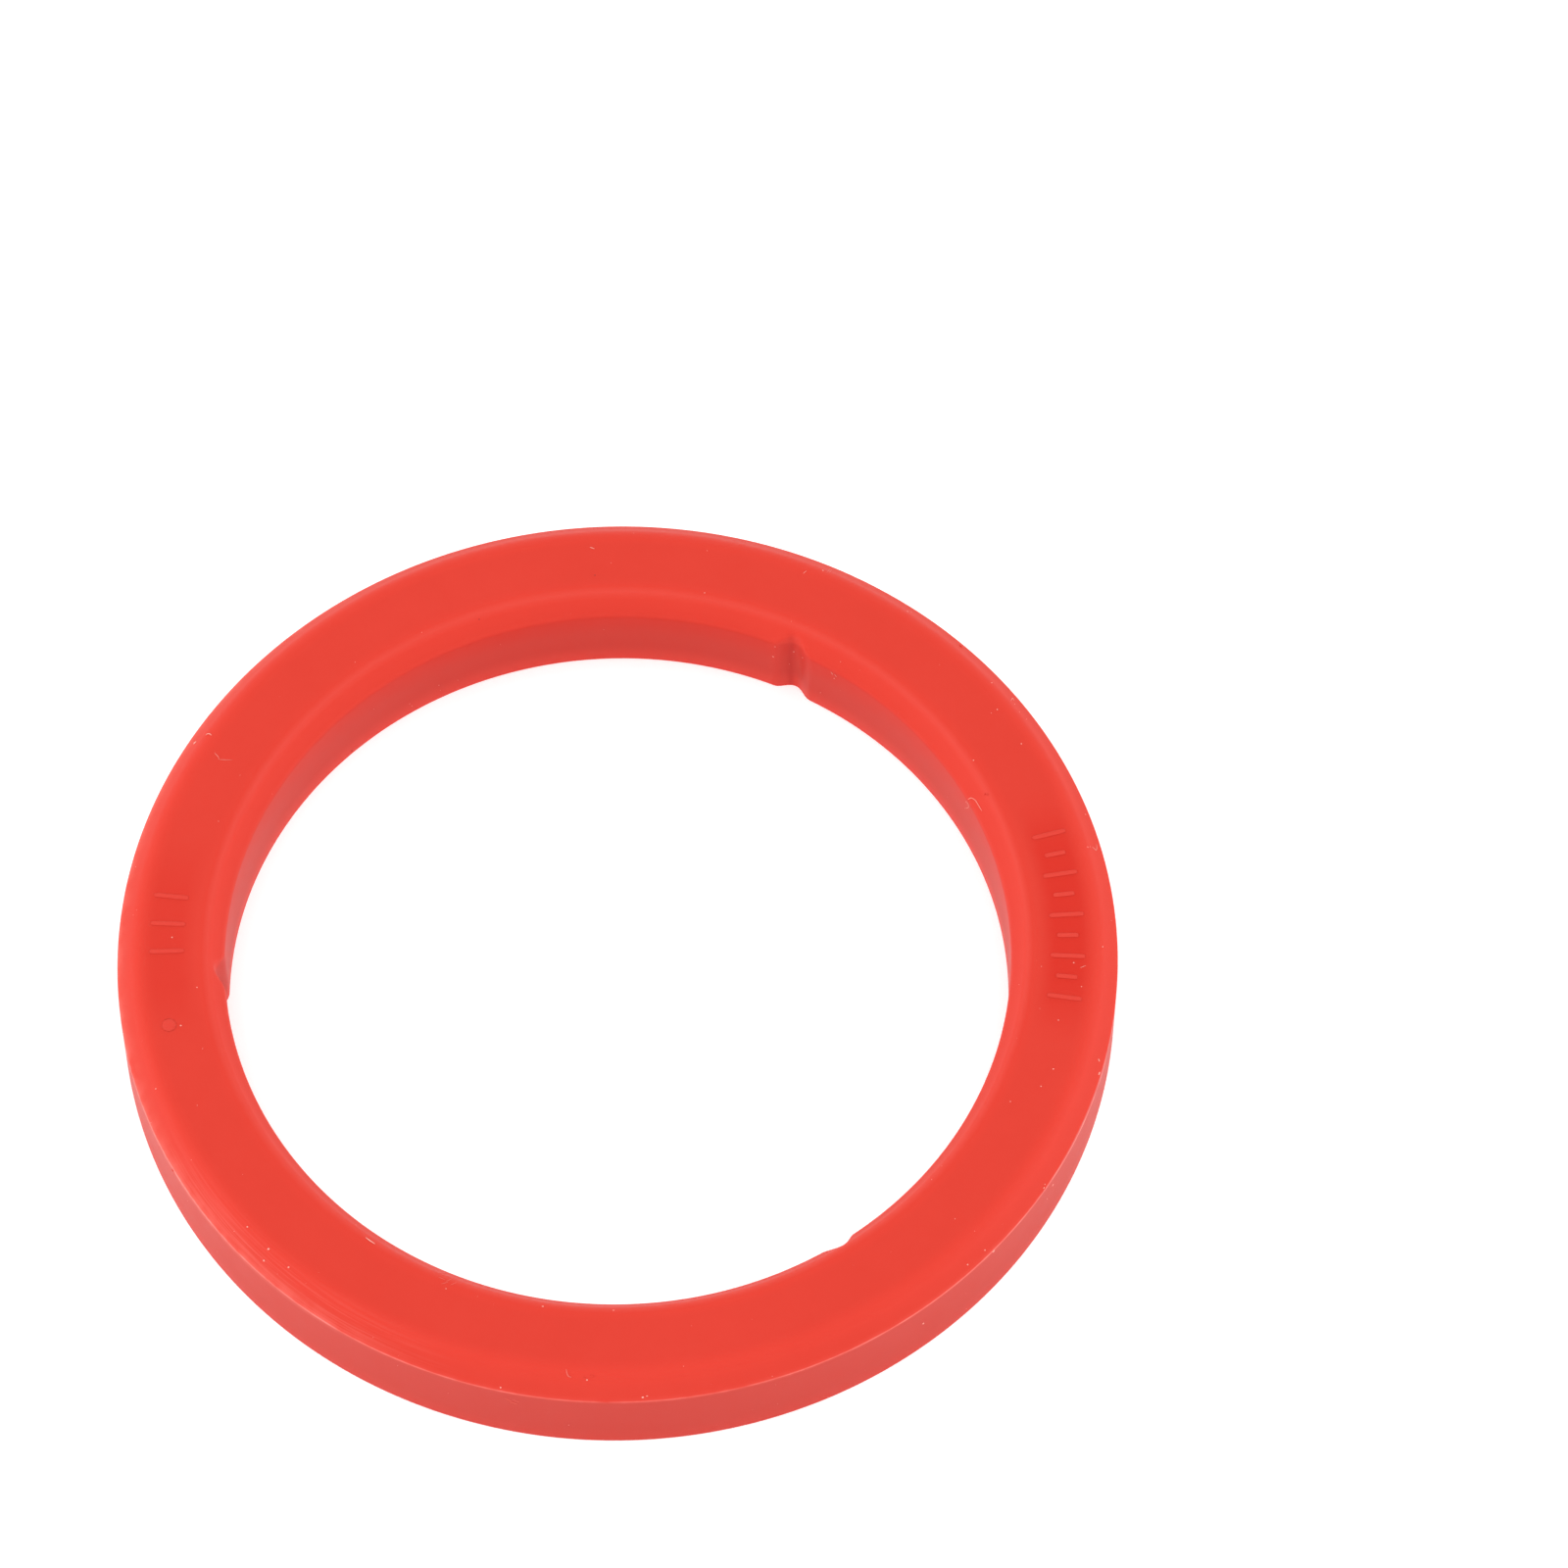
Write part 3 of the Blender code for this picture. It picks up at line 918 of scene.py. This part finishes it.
thread_tree, net = new_tree("threads")
thread_material, _ = input_value(thread_tree, "Material", "NodeSocketMaterial", None)
given = net.add("NodeGroupInput", out="Geometry")
route = net.add("GeometryNodeMeshToCurve", {}, {"Mesh": given})
curved = net.add("GeometryNodeCurveSplineType", {"spline_type": "CATMULL_ROM"}, {"Curve": route})
fine_route = net.add("GeometryNodeSetSplineResolution", {}, {0: curved, "Resolution": 5})
loop = net.add("GeometryNodeCurvePrimitiveCircle", {"mode": "RADIUS"}, {"Resolution": 6, "Radius": 1.0})
tube = net.add(
    "GeometryNodeCurveToMesh",
    {},
    {"Curve": fine_route, "Profile Curve": loop, "Scale": kept(net, "thickness"), "Fill Caps": True},
)
smooth = net.add("GeometryNodeSetShadeSmooth", {}, {0: tube})
finished = net.add("GeometryNodeSetMaterial", {}, {"Geometry": smooth, "Material": net.other(given, "Material")})
net.add("NodeGroupOutput", {}, {"Geometry": finished})
print(f"thread tree of {len(thread_tree.nodes)} nodes")


def place_threads(name, threads, material, lift):
    """Thin tubes that lie on the ring, from the radius in microns and the pixels of each."""
    places, edges, thickness = [], [], []
    for microns, pixels in threads:
        for step, (u, v) in enumerate(pixels):
            place, outward = seen_at(u, v)
            places.append(place + outward * microns / MICRONS * lift)
            at_end = step in (0, len(pixels) - 1)
            thickness.append(microns / MICRONS * (END_SHARE if at_end else 1.0))
            if step:
                edges.append((len(places) - 2, len(places) - 1))
    mesh = points_mesh(name, places, thickness=thickness)
    mesh.edges.add(len(edges))
    mesh.edges.foreach_set("vertices", [end for edge in edges for end in edge])
    piece = grow(name, mesh, thread_tree, [(thread_material, material)])
    if volume(piece.data) < 0:
        piece.data.flip_normals()
    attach(piece, "root")
    print(f"{name}: {len(threads)}, {len(piece.data.polygons)} faces")
    return piece


# %% Lint, and the rubbed streaks
lint = [
    (32, [(210, 750.3), (211.4, 749.2), (213, 748.8), (214.6, 749.3), (215.8, 750.5)]),
    (14, [(218.8, 768.1), (220.6, 770), (222.5, 772.1), (223.3, 775)]),
    (11, [(223.3, 775), (227, 775.2), (231, 775.4), (236.5, 775.5)]),
    (22, [(985.8, 818.3), (988.9, 815.1), (991.6, 814.3), (995.1, 816.4), (997.6, 820.1), (999.8, 823.9),
          (1002, 827.3)]),
    (18, [(985.8, 818.3), (988, 820.1), (988.3, 823.9), (984.5, 824.8)]),
    (28, [(601.9, 558.5), (604.2, 559.2), (606.5, 560.1)]),
    (18, [(819.5, 585.4), (821.2, 583.9), (822.9, 582.5)]),
    (26, [(848.1, 685.6), (849, 686.9), (849.8, 688.1)]),
    (22, [(851.9, 688.1), (852.8, 689.4), (853.8, 690.6)]),
    (42, [(373.1, 1263), (377.5, 1266.2), (382.5, 1269.5)]),
    (20, [(1102.5, 987.5), (1105.2, 986.4), (1107.9, 985.5)]),
    (18, [(1114.5, 864.3), (1116.7, 866.2), (1118.6, 867.5), (1119, 864.5), (1118.6, 861.5)]),
    (20, [(1031.6, 715.2), (1033.2, 712.4), (1034.4, 714.8)]),
]
place_threads("lint", lint, pale_dust, lift=0.6)

rubbed = [
    (40, [(577.8, 1397), (578.3, 1400.4), (579.9, 1404.1), (583, 1405.4)]),
    (22, [(448, 1303.5), (451, 1304.6), (454, 1305.8)]),
    (26, [(455.5, 1307.6), (458.9, 1306), (461.5, 1304.6)]),
    (24, [(450.5, 1310), (454, 1309.2), (457, 1308.4)]),
    (20, [(459.5, 1311.4), (463, 1309.8), (466, 1308.6)]),
    (26, [(515.3, 1427), (519, 1428.6), (522.5, 1430.2)]),
    (24, [(520, 1430.6), (524, 1431.6), (527.8, 1432.6)]),
    (18, [(523.5, 1428.4), (527, 1429.8), (530, 1431)]),
    (16, [(845, 582.8), (846.2, 581.5), (847.3, 580.3)]),
    (16, [(846, 584.6), (847.2, 583.1), (848.5, 581.5)]),
    (14, [(843.6, 584.2), (844.5, 583.2), (845.4, 582.2)]),
    (20, [(996.5, 1291.3), (1000, 1288.4), (1003.5, 1285.6)]),
    (16, [(1006, 1282.8), (1008, 1281), (1010, 1279.2)]),
]
rubbed_streaks = place_threads("rubbed_streaks", rubbed, rubbed_silicone, lift=0.1)
